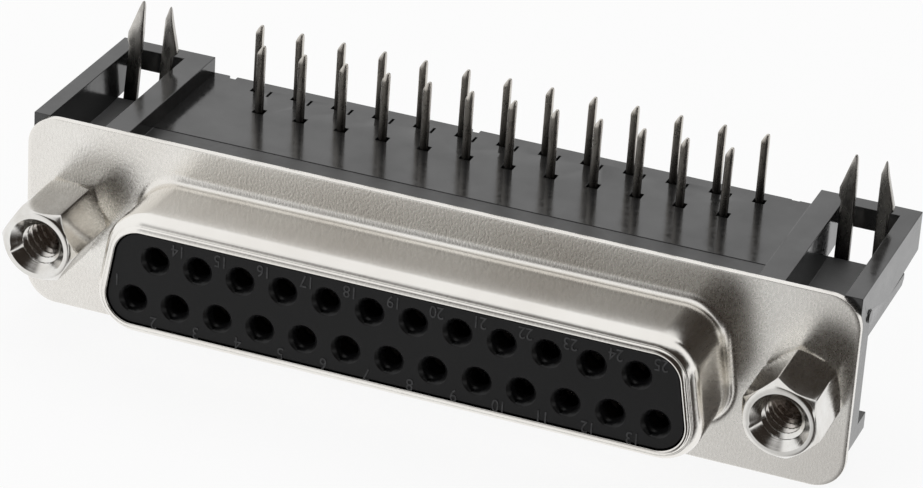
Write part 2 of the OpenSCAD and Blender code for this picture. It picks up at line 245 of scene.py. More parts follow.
def plated_steel():
    """Satin nickel: pebble grain on the flange, draw lines down the nose and roll lines round its mouth."""
    made, shader, add = node_graph("satin nickel")
    place = add("ShaderNodeTexCoord").outputs["Object"]

    def grain(size, stretch, detail):
        way = add("ShaderNodeMapping", {"Vector": place, "Scale": stretch})
        return add("ShaderNodeTexNoise", {"Vector": way.outputs["Vector"], "Scale": size, "Detail": detail,
                                          "Roughness": 0.55}).outputs["Fac"]

    def span(socket, first, last, low, high):
        return add("ShaderNodeMapRange", {"Value": socket, "From Min": first, "From Max": last, "To Min": low,
                                          "To Max": high}).outputs["Result"]

    def times(a, b):
        return add("ShaderNodeMath", {0: a, 1: b}, operation="MULTIPLY").outputs[0]

    split = add("ShaderNodeSeparateXYZ", {"Vector": place}).outputs
    depth = split["Y"]
    pebble = grain(7400.0, (1.0, 0.8, 0.7), 1.0)
    flat_part = times(span(depth, flange_y - 0.5 * mm, flange_y - 0.1 * mm, 0.10, 1.0),
                      span(split["X"], 6 * mm, 20 * mm, 1.0, 0.32))
    drawn = times(grain(4200.0, (1.0, 0.03, 1.0), 3.0),
                  span(depth, flange_y - 0.6 * mm, flange_y - 0.1 * mm, 0.5, 0.0))
    rolled = times(grain(7000.0, (0.015, 1.0, 1.0), 3.0),
                   span(depth, shell_low.y + 0.9 * mm, shell_low.y + 0.5 * mm, 0.0, 0.9))
    tone = two_tone(add, grain(160.0, (1.0, 1.0, 1.0), 4.0), (0.82, 0.79, 0.745), (0.90, 0.88, 0.84),
                    0.3, 0.7)
    height = add("ShaderNodeMath", {0: pebble, 1: flat_part, 2: drawn}, operation="MULTIPLY_ADD")
    height = add("ShaderNodeMath", {0: height.outputs[0], 1: rolled}, operation="ADD")
    bump = add("ShaderNodeBump", {"Height": height.outputs[0], "Strength": 0.38, "Distance": 0.00002})
    polish = span(depth, flange_y - 0.6 * mm, flange_y - 0.1 * mm, 0.62, 1.0)
    shader.inputs["Metallic"].default_value = 1.0
    link(made, tone, shader.inputs["Base Color"])
    link(made, times(span(pebble, 0.3, 0.7, 0.24, 0.31), polish), shader.inputs["Roughness"])
    link(made, bump.outputs["Normal"], shader.inputs["Normal"])
    return made


shell.data.materials.append(plated_steel())

# ---------------------------------------------------------------------------------------------
# Front insulator: one block of glass-filled polyester, moulded black and matte, with 25 lead-in holes and a
# small raised number beside each. It slides into the nose from behind, and its collar is trapped
# between the shell and the rear housing.
face_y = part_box("front_insulator")[0].y
number_height, number_rise = 0.8 * mm, 0.03 * mm
number_sunk = 0.004 * mm                # how far a number's foot lies inside the face
figure_cap, figure_narrow = 0.70, 0.86  # height of a figure at font size 1; its width against the font's
funnel_r, funnel_depth = 0.95 * mm, 0.28 * mm
hole_search_r = 1.05 * mm               # points nearer than this to a hole's axis belong to its mouth
slot_first, slot_last = 226, 258        # angles between which the funnel runs deeper, in degrees
barrel_r = 0.85 * mm
contact_box = {i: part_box(f"contact_{i:02d}") for i in range(1, 26)}


def matte_polyester():
    """Near-black moulding with a fine dry texture and slightly paler patches."""
    made, shader, add = node_graph("matte black polyester")
    place = add("ShaderNodeTexCoord").outputs["Object"]
    fine = add("ShaderNodeTexNoise", {"Vector": place, "Scale": 5200.0, "Detail": 3.0})
    broad = add("ShaderNodeTexNoise", {"Vector": place, "Scale": 420.0, "Detail": 4.0, "Roughness": 0.6})
    tone = two_tone(add, broad.outputs["Fac"], (0.0055, 0.0055, 0.0058), (0.0095, 0.0095, 0.0100), 0.35, 0.75)
    depth = add("ShaderNodeSeparateXYZ", {"Vector": place}).outputs["Y"]
    funnel = add("ShaderNodeMapRange", {"Value": depth, "From Min": face_y + 0.01 * mm,
                                        "From Max": face_y + 0.03 * mm, "To Min": 1.0, "To Max": 0.55})
    dry = add("ShaderNodeMapRange", {"Value": broad.outputs["Fac"], "To Min": 0.46, "To Max": 0.64})
    rough = add("ShaderNodeMath", {0: dry.outputs["Result"], 1: funnel.outputs["Result"]},
                operation="MULTIPLY")
    bump = add("ShaderNodeBump", {"Height": fine.outputs["Fac"], "Strength": 0.35, "Distance": 0.00002})
    shader.inputs["Specular IOR Level"].default_value = 0.32
    link(made, tone, shader.inputs["Base Color"])
    link(made, rough.outputs[0], shader.inputs["Roughness"])
    link(made, bump.outputs["Normal"], shader.inputs["Normal"])
    return made


def raised_number(value, x, z, material):
    """One contact number, standing out of the insulator's face, head down as on the real one."""
    letters = bpy.data.curves.new("figures", "FONT")
    letters.body = str(value)
    letters.size = 1.0
    letters.align_x = "CENTER"
    letters.resolution_u = 3
    letters.space_character = 0.92
    words = bpy.data.objects.new("figures", letters)
    bpy.context.scene.collection.objects.link(words)
    bpy.context.view_layer.update()
    flat = bpy.data.meshes.new_from_object(words)
    bpy.data.objects.remove(words)
    points = np.zeros(len(flat.vertices) * 3)
    flat.vertices.foreach_get("co", points)
    points = points.reshape(-1, 3)
    scale = number_height / figure_cap
    middle = (points.max(0) + points.min(0)) / 2
    across_x = (points[:, 0] - middle[0]) * scale * figure_narrow
    up_z = (points[:, 1] - middle[1]) * scale
    placed = np.stack([x - across_x, np.full(len(points), face_y + number_sunk), z - up_z], 1)
    flat.vertices.foreach_set("co", placed.ravel())
    flat.update()
    made = bmesh.new()
    made.from_mesh(flat)
    bmesh.ops.remove_doubles(made, verts=made.verts, dist=1e-7)
    faces = list(made.faces)
    grown = bmesh.ops.extrude_face_region(made, geom=faces)
    bmesh.ops.translate(made, vec=(0, -number_rise - number_sunk, 0),
                        verts=[v for v in grown["geom"] if isinstance(v, bmesh.types.BMVert)])
    bmesh.ops.recalc_face_normals(made, faces=made.faces)
    made.to_mesh(flat)
    made.free()
    flat.name = f"number_{value}"
    piece = bpy.data.objects.new(f"number_{value}", flat)
    bpy.context.scene.collection.objects.link(piece)
    flat.materials.clear()
    flat.materials.append(material)
    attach(piece, "root")


def lead_in_block(material):
    """The insulator as packed, with a funnel at the mouth of each hole.

    A cut all round at the funnel's depth gives every bore a ring of points there. The ring on the face is
    spread to the funnel's radius, and in the slot's span of angles the deeper ring is spread as well."""
    mesh = nodes["front_insulator"].data.copy()
    mesh.name = "lead_in_block"
    made = bmesh.new()
    made.from_mesh(mesh)
    bmesh.ops.remove_doubles(made, verts=made.verts, dist=2e-7)
    bmesh.ops.dissolve_limit(made, angle_limit=math.radians(0.5), verts=made.verts, edges=made.edges)
    cut_y = face_y + funnel_depth
    bmesh.ops.bisect_plane(made, geom=made.verts[:] + made.edges[:] + made.faces[:], dist=1e-7,
                           plane_co=(0, cut_y, 0), plane_no=(0, 1, 0))
    made.to_mesh(mesh)
    made.free()
    points = np.zeros(len(mesh.vertices) * 3)
    mesh.vertices.foreach_get("co", points)
    points = points.reshape(-1, 3)
    for low, high in contact_box.values():
        from_axis = points[:, (0, 2)] - ((low.x + high.x) / 2, low.z + barrel_r)
        r = np.hypot(*from_axis.T)
        angle = np.degrees(np.arctan2(from_axis[:, 1], from_axis[:, 0])) % 360
        near = r < hole_search_r
        mouth = near & (np.abs(points[:, 1] - face_y) < 1e-6)
        notch = near & (np.abs(points[:, 1] - cut_y) < 1e-6) & (angle > slot_first) & (angle < slot_last)
        spread = mouth | notch
        points[spread, 0] += from_axis[spread, 0] * (funnel_r / r[spread] - 1)
        points[spread, 2] += from_axis[spread, 1] * (funnel_r / r[spread] - 1)
    mesh.vertices.foreach_set("co", points.ravel())
    mesh.materials.clear()
    mesh.materials.append(material)
    mesh.polygons.foreach_set("use_smooth", np.full(len(mesh.polygons), True))
    mesh.set_sharp_from_angle(angle=math.radians(25))
    piece = bpy.data.objects.new("lead_in_block", mesh)
    bpy.context.scene.collection.objects.link(piece)
    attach(piece, "root")
    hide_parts("front_insulator")


def rubbed_polyester():
    """The raised numbers' plastic, painted paler than the face as a painted highlight, in patches that vary
    at random.
    """
    made, shader, add = node_graph("black polyester with painted highlight")
    place = add("ShaderNodeTexCoord").outputs["Object"]
    patch_noise = add("ShaderNodeTexNoise", {"Vector": place, "Scale": 3000.0})
    # Painted highlight: the numbers' colour is paler than the face, for the light their raised strokes catch.
    tone = two_tone(add, patch_noise.outputs["Fac"], (0.012, 0.012, 0.013), (0.042, 0.042, 0.044), 0.35, 0.65)
    link(made, tone, shader.inputs["Base Color"])
    shader.inputs["Roughness"].default_value = 0.38
    return made


lead_in_block(matte_polyester())
figure_black = rubbed_polyester()
last_lower = 13                         # contacts 1 to 13 are the lower row
# Where a number stands: how far aside of its hole's axis, and how high on the face.
lower_number, upper_number = (-1.38 * mm, -2.72 * mm), (1.40 * mm, 2.42 * mm)
for i in range(2, 26):
    middle_x = (contact_box[i][0].x + contact_box[i][1].x) / 2
    aside, z = lower_number if i <= last_lower else upper_number
    raised_number(i, middle_x + aside, z, figure_black)
# The first contact's number stands higher than the rest of its row.
raised_number(1, contact_box[1][0].x - 0.24 * mm, -0.35 * mm, figure_black)

# ---------------------------------------------------------------------------------------------
# Rear housing and tail plate: glass-filled polyester again, but from a polished mould, so their flat faces
# are glossy and mirror the tails. The plate snaps in between the end blocks and keeps the tails in place.


def glossy_polyester():
    """Black moulding with a polished skin: a slow ripple, patches of sheen and a fine unevenness. Pocket
    floors are matt and painted a paler grey as a painted sheen, and the ledge in front of the tail plate is
    rougher than the rest."""
    made, shader, add = node_graph("glossy black polyester")
    place = add("ShaderNodeTexCoord").outputs["Object"]
    ripple = add("ShaderNodeTexNoise", {"Vector": place, "Scale": 260.0, "Detail": 2.0})
    skin = add("ShaderNodeTexNoise", {"Vector": place, "Scale": 2600.0, "Detail": 3.0, "Roughness": 0.6})
    cloud = add("ShaderNodeTexNoise", {"Vector": place, "Scale": 330.0, "Detail": 4.0, "Roughness": 0.6})
    sheen = add("ShaderNodeMapRange", {"Value": cloud.outputs["Fac"], "From Min": 0.3, "From Max": 0.7,
                                       "To Min": 0.36, "To Max": 0.56})
    polished = add("ShaderNodeMapRange", {"Value": skin.outputs["Fac"], "From Min": 0.3, "From Max": 0.7,
                                          "To Min": 0.10, "To Max": 0.20})
    split = add("ShaderNodeSeparateXYZ", {"Vector": place}).outputs
    facing = add("ShaderNodeNewGeometry").outputs["Normal"]
    upward = add("ShaderNodeSeparateXYZ", {"Vector": facing}).outputs["Z"]
    sunk = add("ShaderNodeMapRange", {"Value": split["Z"], "From Min": 5.0 * mm, "From Max": 4.6 * mm,
                                      "To Min": 0.0, "To Max": 0.34})
    level = add("ShaderNodeMapRange", {"Value": upward, "From Min": 0.6, "From Max": 0.9})
    matt_floor_and_painted_sheen = add("ShaderNodeMath", {0: sunk.outputs["Result"], 1: level.outputs["Result"]},
                     operation="MULTIPLY")
    plate_low, plate_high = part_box("tail_organiser")
    ledge = add("ShaderNodeMapRange", {"Value": split["Y"], "From Min": plate_low.y,
                                       "From Max": plate_low.y - 0.04 * mm, "To Min": 0.0, "To Max": 0.22})
    off_middle = add("ShaderNodeMath", {0: split["X"]}, operation="ABSOLUTE")
    between = add("ShaderNodeMath", {0: off_middle.outputs[0], 1: plate_high.x}, operation="LESS_THAN")
    worn = add("ShaderNodeMath", {0: ledge.outputs["Result"], 1: between.outputs[0]}, operation="MULTIPLY")
    worn_top = add("ShaderNodeMath", {0: worn.outputs[0], 1: level.outputs["Result"],
                                      2: matt_floor_and_painted_sheen.outputs[0]}, operation="MULTIPLY_ADD")
    rough = add("ShaderNodeMath", {0: polished.outputs["Result"], 1: worn_top.outputs[0]}, operation="ADD")
    tone = two_tone(add, skin.outputs["Fac"], (0.016, 0.016, 0.016), (0.028, 0.028, 0.028))
    low = add("ShaderNodeBump", {"Height": ripple.outputs["Fac"], "Strength": 0.3, "Distance": 0.00005})
    bump = add("ShaderNodeBump", {"Height": skin.outputs["Fac"], "Strength": 0.12, "Distance": 0.00001,
                                  "Normal": low.outputs["Normal"]})
    # Painted sheen: level pocket floors are mixed towards pale grey, for the light they reflect.
    painted_floor_sheen = add("ShaderNodeMix", {"Factor": matt_floor_and_painted_sheen.outputs[0], 6: tone, 7: (0.24, 0.24, 0.24, 1)},
                data_type="RGBA")
    shader.inputs["IOR"].default_value = 1.66
    link(made, sheen.outputs["Result"], shader.inputs["Specular IOR Level"])
    link(made, painted_floor_sheen.outputs[2], shader.inputs["Base Color"])
    link(made, rough.outputs[0], shader.inputs["Roughness"])
    link(made, bump.outputs["Normal"], shader.inputs["Normal"])
    return made


def moulding(node, name, material, edge_round):
    """A copy of a packed moulding, its flat faces joined up and its edges rounded as a mould leaves them."""
    mesh = nodes[node].data.copy()
    mesh.name = name
    made = bmesh.new()
    made.from_mesh(mesh)
    bmesh.ops.remove_doubles(made, verts=made.verts, dist=2e-7)
    bmesh.ops.dissolve_limit(made, angle_limit=math.radians(0.5), verts=made.verts, edges=made.edges)
    made.to_mesh(mesh)
    made.free()
    mesh.materials.clear()
    mesh.materials.append(material)
    piece = bpy.data.objects.new(name, mesh)
    bpy.context.scene.collection.objects.link(piece)
    soft = piece.modifiers.new("mould round", "BEVEL")
    soft.width = edge_round
    soft.segments = 2
    soft.limit_method = "ANGLE"
    soft.angle_limit = math.radians(35)
    soft.use_clamp_overlap = False
    soft.harden_normals = True
    mesh.polygons.foreach_set("use_smooth", np.full(len(mesh.polygons), True))
    mesh.set_sharp_from_angle(angle=math.radians(35))
    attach(piece, "root")
    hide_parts(node)


housing_black = glossy_polyester()
moulding("rear_housing", "moulded_housing", housing_black, 0.045 * mm)
moulding("tail_organiser", "moulded_tail_plate", housing_black, 0.015 * mm)

# ---------------------------------------------------------------------------------------------
# Contacts: stamped from phosphor bronze and tin plated. A slotted barrel grips the pin inside the insulator,
# and a square wire with rounded edges bends up through the plate to a tail whose point is cut from one side.
barrel_bore, slot_half = 0.52 * mm, 0.11 * mm
wire_half, wire_edge, wire_bend = 0.25 * mm, 0.17 * mm, 0.35 * mm
seat_y = flange_y + 1.45 * mm           # where the barrel ends and the wire begins
spring_setback = 1.2 * mm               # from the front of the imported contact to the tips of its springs
tail_lean = 0.03 * mm                   # how far the tips lean aside on average, and how much that varies


def tinned(name, dark, pale, rough_low, rough_high, grain_scale, grain, foot):
    """Tin over a stamped or turned part: a grey cast that drifts, with pitted grain drawn out along Z, and
    painted shade near the foot, where the tin is painted near black. The foot's three heights are where the
    painted shade begins, where it starts to fade and where it ends."""
    made, shader, add = node_graph(name)
    place = add("ShaderNodeTexCoord").outputs["Object"]
    drawn = add("ShaderNodeMapping", {"Vector": place, "Scale": (1.0, 1.0, 0.4)})
    pits = add("ShaderNodeTexNoise", {"Vector": drawn.outputs["Vector"], "Scale": grain_scale, "Detail": 3.0,
                                      "Roughness": 0.6})
    drift = add("ShaderNodeTexNoise", {"Vector": place, "Scale": 700.0, "Detail": 3.0})
    tone = two_tone(add, drift.outputs["Fac"], dark, pale, 0.3, 0.7)
    rough = add("ShaderNodeMapRange", {"Value": pits.outputs["Fac"], "From Min": 0.3, "From Max": 0.7,
                                       "To Min": rough_low, "To Max": rough_high})
    bump = add("ShaderNodeBump", {"Height": pits.outputs["Fac"], "Strength": grain, "Distance": 0.00002})
    shader.inputs["Metallic"].default_value = 1.0
    height = add("ShaderNodeSeparateXYZ", {"Vector": place}).outputs["Z"]
    over = add("ShaderNodeMapRange", {"Value": height, "From Min": foot[1], "From Max": foot[2],
                                      "To Min": 1.0, "To Max": 0.0}, interpolation_type="SMOOTHSTEP")
    under = add("ShaderNodeMapRange", {"Value": height, "From Min": foot[0], "From Max": foot[0] + 0.3 * mm})
    foot_shade = add("ShaderNodeMath", {0: over.outputs["Result"], 1: under.outputs["Result"]},
               operation="MULTIPLY")
    # Painted shade: towards the foot the tin is mixed towards near black, for the shade next to the black
    # plastic.
    foot_shaded_tone = add("ShaderNodeMix", {"Factor": foot_shade.outputs[0], 6: tone, 7: (0.07, 0.065, 0.06, 1)},
                 data_type="RGBA")
    link(made, foot_shaded_tone.outputs[2], shader.inputs["Base Color"])
    link(made, rough.outputs["Result"], shader.inputs["Roughness"])
    link(made, bump.outputs["Normal"], shader.inputs["Normal"])
    return made


def swept_section(section, middle, along, x_low, x_high, half):
    """A section carried along a path in the YZ plane.

    The section's points run over -1..1 both ways. At each station they are spread between x_low and x_high,
    and over that half thickness along the path's normal, which is its direction turned a quarter turn."""
    normal = np.stack([-along[:, 1], along[:, 0]], 1)
    x = (x_low + x_high)[:, None] / 2 + (x_high - x_low)[:, None] / 2 * section[None, :, 0]
    off = half[:, None] * section[None, :, 1]
    return np.stack([x, middle[:, :1] + off * normal[:, :1], middle[:, 1:] + off * normal[:, 1:]], -1)


def rounded_square(edge, steps, runs=1):
    """A square from -1 to 1 with rounded corners of that radius."""
    c = 1 - edge
    return rounded_outline([(c, -c, edge, -90, 0), (c, c, edge, 0, 90), (-c, c, edge, 90, 180),
                            (-c, -c, edge, 180, 270)], steps, runs)[0]


wire_section = rounded_square(wire_edge / wire_half, 4, 3)
# The pointed end: depth below the tip, then the left and right sides and the half thickness.
point_cut = np.array([(0.62, -0.25, 0.25, 0.25), (0.52, -0.24, 0.25, 0.248), (0.38, -0.175, 0.25, 0.235),
                      (0.24, -0.095, 0.25, 0.205), (0.14, -0.03, 0.243, 0.17), (0.07, 0.02, 0.225, 0.13),
                      (0.03, 0.055, 0.2, 0.09), (0.008, 0.09, 0.17, 0.045), (0.0, 0.13, 0.13, 0.0)]) * mm
point_rows = len(point_cut)


def half_barrel(x, z, front, side):
    """One spring half of the barrel: a C section carried along Y and pinched shut at both its ends."""
    first = math.degrees(math.asin(slot_half / barrel_bore)) + 4
    a = np.radians(np.linspace(first - 90, 90 - first, 13))
    radius = np.concatenate([np.full(13, barrel_r), np.full(13, barrel_bore)])
    a = np.concatenate([a, a[::-1]])
    pinch = (barrel_r + barrel_bore) / 2
    rows = []
    front += spring_setback
    for y, share in ((front, 1.0), (front, 0.25), (front + 0.08 * mm, 0.0), (seat_y - 2.2 * mm, 0.0),
                     (seat_y - 1.9 * mm, 0.0), (seat_y - 1.9 * mm, 1.0)):
        r = radius + (pinch - radius) * share
        rows.append(np.stack([x + side * r * np.cos(a), np.full(26, y), z + r * np.sin(a)], 1))
    return np.array(rows)


def contact(i, material):
    """One contact: two spring halves, the round barrel behind them, and the wire up to the tail's tip."""
    low, high = contact_box[i]
    x, z = (low.x + high.x) / 2, low.z + barrel_r
    y_tail, tip = high.y - wire_half, high.z
    lean = tail_lean * (1 + math.sin(2.3 * i))
    tube_a = np.radians(np.arange(0, 360, 15))
    tube = []
    for y, r in ((seat_y - 2.0 * mm, 0), (seat_y - 2.0 * mm, barrel_r - 0.03 * mm),
                 (seat_y - 1.97 * mm, barrel_r), (seat_y - 0.5 * mm, barrel_r),
                 (seat_y - 0.42 * mm, barrel_r - 0.12 * mm), (seat_y - 0.3 * mm, barrel_r - 0.12 * mm),
                 (seat_y - 0.22 * mm, barrel_r), (seat_y - 0.03 * mm, barrel_r),
                 (seat_y, barrel_r - 0.03 * mm), (seat_y, 0)):
        tube.append(np.stack([x + r * np.cos(tube_a), np.full(24, y), z + r * np.sin(tube_a)], 1))
    a = np.radians(np.linspace(-90, 0, 9))
    centre_y, centre_z = y_tail - wire_bend - wire_half, z + wire_bend + wire_half
    bend = np.array([centre_y, centre_z]) + (wire_bend + wire_half) * np.stack([np.cos(a), np.sin(a)], 1)
    turn = np.stack([-np.sin(a), np.cos(a)], 1)
    up = np.array([centre_z + t * (tip - point_cut[0, 0] - centre_z) for t in (0.25, 0.5, 0.7, 0.85)])
    cut = tip - point_cut[:, 0]
    rise = np.concatenate([up, cut])
    middle = np.concatenate([[(seat_y - 0.1 * mm, z)], [(seat_y - 0.1 * mm, z)], bend,
                             np.stack([np.full(len(rise), y_tail), rise], 1)])
    along = np.concatenate([[(1, 0)], [(1, 0)], turn, np.tile([[0.0, 1.0]], (len(rise), 1))])
    count = len(middle)
    left, right, half = np.full(count, -wire_half), np.full(count, wire_half), np.full(count, wire_half)
    left[-point_rows:], right[-point_rows:], half[-point_rows:] = point_cut[:, 1:].T
    left[0] = right[0] = half[0] = 0
    drift = lean * np.clip((middle[:, 1] - centre_z) / (tip - centre_z), 0, 1) ** 2
    wire = swept_section(wire_section, middle, along, x + left + drift, x + right + drift, half)
    piece = sheet_piece(f"stamped_contact_{i:02d}", [(half_barrel(x, z, low.y, 1), False),
                                                     (half_barrel(x, z, low.y, -1), False),
                                                     (np.array(tube), False), (wire, False)])
    piece.data.set_sharp_from_angle(angle=math.radians(50))
    piece.data.materials.append(material)
    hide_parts(f"contact_{i:02d}")


board_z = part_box("tail_organiser")[1].z
# The last three heights put painted shade on the tails, from just below the plate's top, fading out 2.6 mm
# above it.
contact_tin = tinned("satin tin", (0.50, 0.47, 0.43), (0.66, 0.63, 0.58), 0.22, 0.36, 3000.0, 0.06,
                     (board_z - 1.2 * mm, board_z - 0.3 * mm, board_z + 2.6 * mm))
for i in range(1, 26):
    contact(i, contact_tin)

# ---------------------------------------------------------------------------------------------
# Board locks: one stamping of spring brass, tin plated, used twice. A plate clamped behind the housing wall
# runs on under the pocket floor and turns up into a fork whose two spear-shaped prongs snap into the board.
# The left fork was bent over a little when it was fitted.
lock_sheet, lock_bend = 0.4 * mm, 0.3 * mm
plate_half, arm_half = 2.3 * mm, 1.6 * mm           # half widths of the clamped plate and of the arm
prong_inner = 0.70 * mm
arm_top = 2.7 * mm                                  # height of the arm's upper face
drawn_tip = 10.25 * mm                              # height of the tips in the prongs' table
# The last three heights put painted shade low on the prongs, fading out 1.8 mm above the plate's top.
lock_tin = tinned("pitted tin", (0.40, 0.385, 0.36), (0.62, 0.60, 0.565), 0.18, 0.36, 2400.0, 0.6,
                  (3.0 * mm, board_z - 1.6 * mm, board_z + 1.8 * mm))
sheet_section = rounded_square(0.28, 3, 3)


def lock_strip(middle, along, x_low, x_high, half):
    """A strip of the lock's sheet along a path, its two ends drawn shut."""
    ends = [0] + list(range(len(middle))) + [len(middle) - 1]
    spread = np.ones(len(ends))
    spread[[0, -1]] = 0
    mid = (x_low + x_high) / 2
    return swept_section(sheet_section, middle[ends], along[ends], mid[ends] + spread * (x_low - mid)[ends],
                         mid[ends] + spread * (x_high - mid)[ends], half[ends] * spread)


def board_lock(side, x, lean):
    """One lock, its fork leaning aside by that share of the height above the arm."""
    low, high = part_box(f"board_lock_{side}")
    t = lock_sheet / 2
    y_plate, y_fork, tip = low.y, high.y - t, high.z
    z_arm = arm_top - t
    r = lock_bend + t
    a = np.radians(np.linspace(180, 90, 7))
    plate = np.concatenate([[(y_plate + t, low.z), (y_plate + t, low.z + 2.0 * mm), (y_plate + t, z_arm - r)],
                            np.stack([y_plate + t + r + r * np.cos(a), z_arm - r + r * np.sin(a)], 1)[1:],
                            [(y_fork - r - 0.1 * mm, z_arm), (y_fork - r, z_arm)]])
    step = np.diff(plate, axis=0)
    step = np.concatenate([step, step[-1:]])
    along = step / np.linalg.norm(step, axis=1)[:, None]
    wide = np.where(plate[:, 1] < z_arm - r - 0.3 * mm, plate_half, arm_half)
    body = lock_strip(plate, along, x - wide, x + wide, np.full(len(plate), t))
    a = np.radians(np.linspace(-90, 0, 7))
    base = np.stack([y_fork - r + r * np.cos(a), z_arm + r + r * np.sin(a)], 1)
    base_way = np.stack([-np.sin(a), np.cos(a)], 1)
    sheets = [(body, False)]
    # Height, inner side, outer side and half thickness of each prong in mm, the left one first.
    prongs = {-1: [(3.40, 0.70, 1.60, 0.20), (6.20, 0.70, 1.57, 0.20), (7.10, 0.70, 1.55, 0.20),
                   (7.42, 0.70, 1.70, 0.20), (7.98, 0.70, 1.70, 0.20), (8.60, 0.72, 1.50, 0.19),
                   (9.30, 0.75, 1.28, 0.17), (9.80, 0.77, 1.12, 0.15), (10.06, 0.80, 1.03, 0.12),
                   (10.20, 0.86, 0.98, 0.07), (10.25, 0.92, 0.92, 0.0)],
              1: [(3.40, 0.70, 1.46, 0.20), (6.20, 0.70, 1.43, 0.20), (6.85, 0.70, 1.40, 0.20),
                  (7.10, 0.70, 1.70, 0.20), (7.45, 0.70, 1.68, 0.20), (8.40, 0.70, 1.43, 0.19),
                  (9.40, 0.71, 1.17, 0.17), (9.80, 0.82, 1.09, 0.14), (10.06, 0.88, 1.04, 0.10),
                  (10.20, 0.92, 0.99, 0.06), (10.25, 0.95, 0.95, 0.0)]}
    for way, rows in prongs.items():
        rows = np.array(rows) * mm
        rows[:, 0] += tip - drawn_tip
        middle = np.concatenate([base, np.stack([np.full(len(rows), y_fork), rows[:, 0]], 1)])
        ways = np.concatenate([base_way, np.tile([[0.0, 1.0]], (len(rows), 1))])
        inner = np.concatenate([np.full(len(base), prong_inner), rows[:, 1]])
        outer = np.concatenate([np.full(len(base), arm_half), rows[:, 2]])
        half = np.concatenate([np.full(len(base), t), rows[:, 3]])
        shift = lean * np.clip(middle[:, 1] - z_arm, 0, 1)
        edges = np.sort(np.stack([way * inner, way * outer]), axis=0)
        sheets.append((lock_strip(middle, ways, x + edges[0] + shift, x + edges[1] + shift, half), False))
    piece = sheet_piece(f"stamped_lock_{side}", sheets)
    piece.data.set_sharp_from_angle(angle=math.radians(50))
    piece.data.materials.append(lock_tin)
    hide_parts(f"board_lock_{side}")


socket_x = 23.52 * mm
board_lock("left", -socket_x, 0.075)
board_lock("right", socket_x, -0.005)

# ---------------------------------------------------------------------------------------------
# Lock nuts: small round clinch nuts of tin-plated steel, turned, with a knurled rim. Each is pressed into its
# board lock's plate from behind and takes the end of a jack socket.
nut_r, nut_bore = 2.0 * mm, 1.21 * mm
knurl_count, knurl_depth = 24, 0.04 * mm
round_steps = 144


def lock_nut(side):
    """A turned ring: its radius follows the profile, and the rim adds a ridge for each knurl."""
    low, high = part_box(f"lock_nut_{side}")
    x, z = (low.x + high.x) / 2, (low.z + high.z) / 2
    depth_end = high.y - low.y
    angle = np.radians(np.arange(0, 360, 360 / round_steps))
    knurl = knurl_depth * (0.5 - 0.5 * np.cos(angle * knurl_count))
    rows = []
    for depth, radius, share in ((0.0, nut_r - 0.12 * mm, 0), (0.1 * mm, nut_r, 1), (0.9 * mm, nut_r, 1),
                                 (1.0 * mm, nut_r - 0.1 * mm, 0), (1.1 * mm, nut_r - 0.12 * mm, 0),
                                 (depth_end - 0.12 * mm, nut_r - 0.12 * mm, 0),
                                 (depth_end, nut_r - 0.25 * mm, 0), (depth_end, nut_bore + 0.16 * mm, 0),
                                 (depth_end - 0.14 * mm, nut_bore, 0), (0.0, nut_bore, 0)):
        r = radius - share * knurl
        y = np.full(round_steps, low.y + depth)
        rows.append(np.stack([x + r * np.cos(angle), y, z + r * np.sin(angle)], 1))
    piece = sheet_piece(f"clinch_nut_{side}", [(np.array(rows), True)])
    piece.data.set_sharp_from_angle(angle=math.radians(40))
    piece.data.materials.append(lock_tin)
    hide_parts(f"lock_nut_{side}")


lock_nut("left")
lock_nut("right")

# ---------------------------------------------------------------------------------------------
# Jack sockets: hexagon bar turned at the front to a flat ring, countersunk, tapped 4-40, and nickel plated.
# Each runs through the flange, the housing and the board lock's plate into its nut. They were tightened by
# hand, so the two hexagons stand at different angles.
flats, corner_edge = 4.46 * mm, 0.14 * mm          # width across the flats; rounding of the long edges
ring_outer, ring_inner = 2.165 * mm, 1.77 * mm
corner_cut, heel_cut = 0.50 * mm, 0.34 * mm         # how far the turned ends run down the corners
thread_major, thread_minor, thread_pitch = 1.4225 * mm, 1.13 * mm, 0.635 * mm
sink_depth, thread_mouth = 0.72 * mm, 0.11 * mm    # countersink; how far the thread's start cuts into it
step_angle = math.radians(199)                      # where the thread's start leaves a step in the mouth
thread_start = 2.0                                  # angle at which the ridge begins, in radians
bore_end = 0.45 * mm                                # metal left between the bore and the flange
grip_y, shank_end_y = 3.15 * mm, 4.85 * mm          # behind the flange: the shank's step, and its end


def hexagon_line(turn):
    """A hexagon across the flats with rounded corners, turned by that many degrees."""
    r = corner_edge
    reach = (flats / 2 - r) / math.cos(math.radians(30))
    corners = []
    for k in range(6):
        a = math.radians(60 * k + turn)
        corners.append((reach * math.cos(a), reach * math.sin(a), r, 60 * k + turn - 30, 60 * k + turn + 30))
    return rounded_outline(corners, 6, 10)[0]


def tapped(angle, depth):
    """Radius of a tapped wall: a 60 degree ridge that climbs one pitch a turn, with flat crest and root."""
    turn = np.mod(depth / thread_pitch + (angle - thread_start) / (2 * math.pi), 1.0)
    rise = np.clip((np.abs(turn - 0.5) - 0.125) / 0.3125, 0, 1)
    return thread_major - (thread_major - thread_minor) * rise


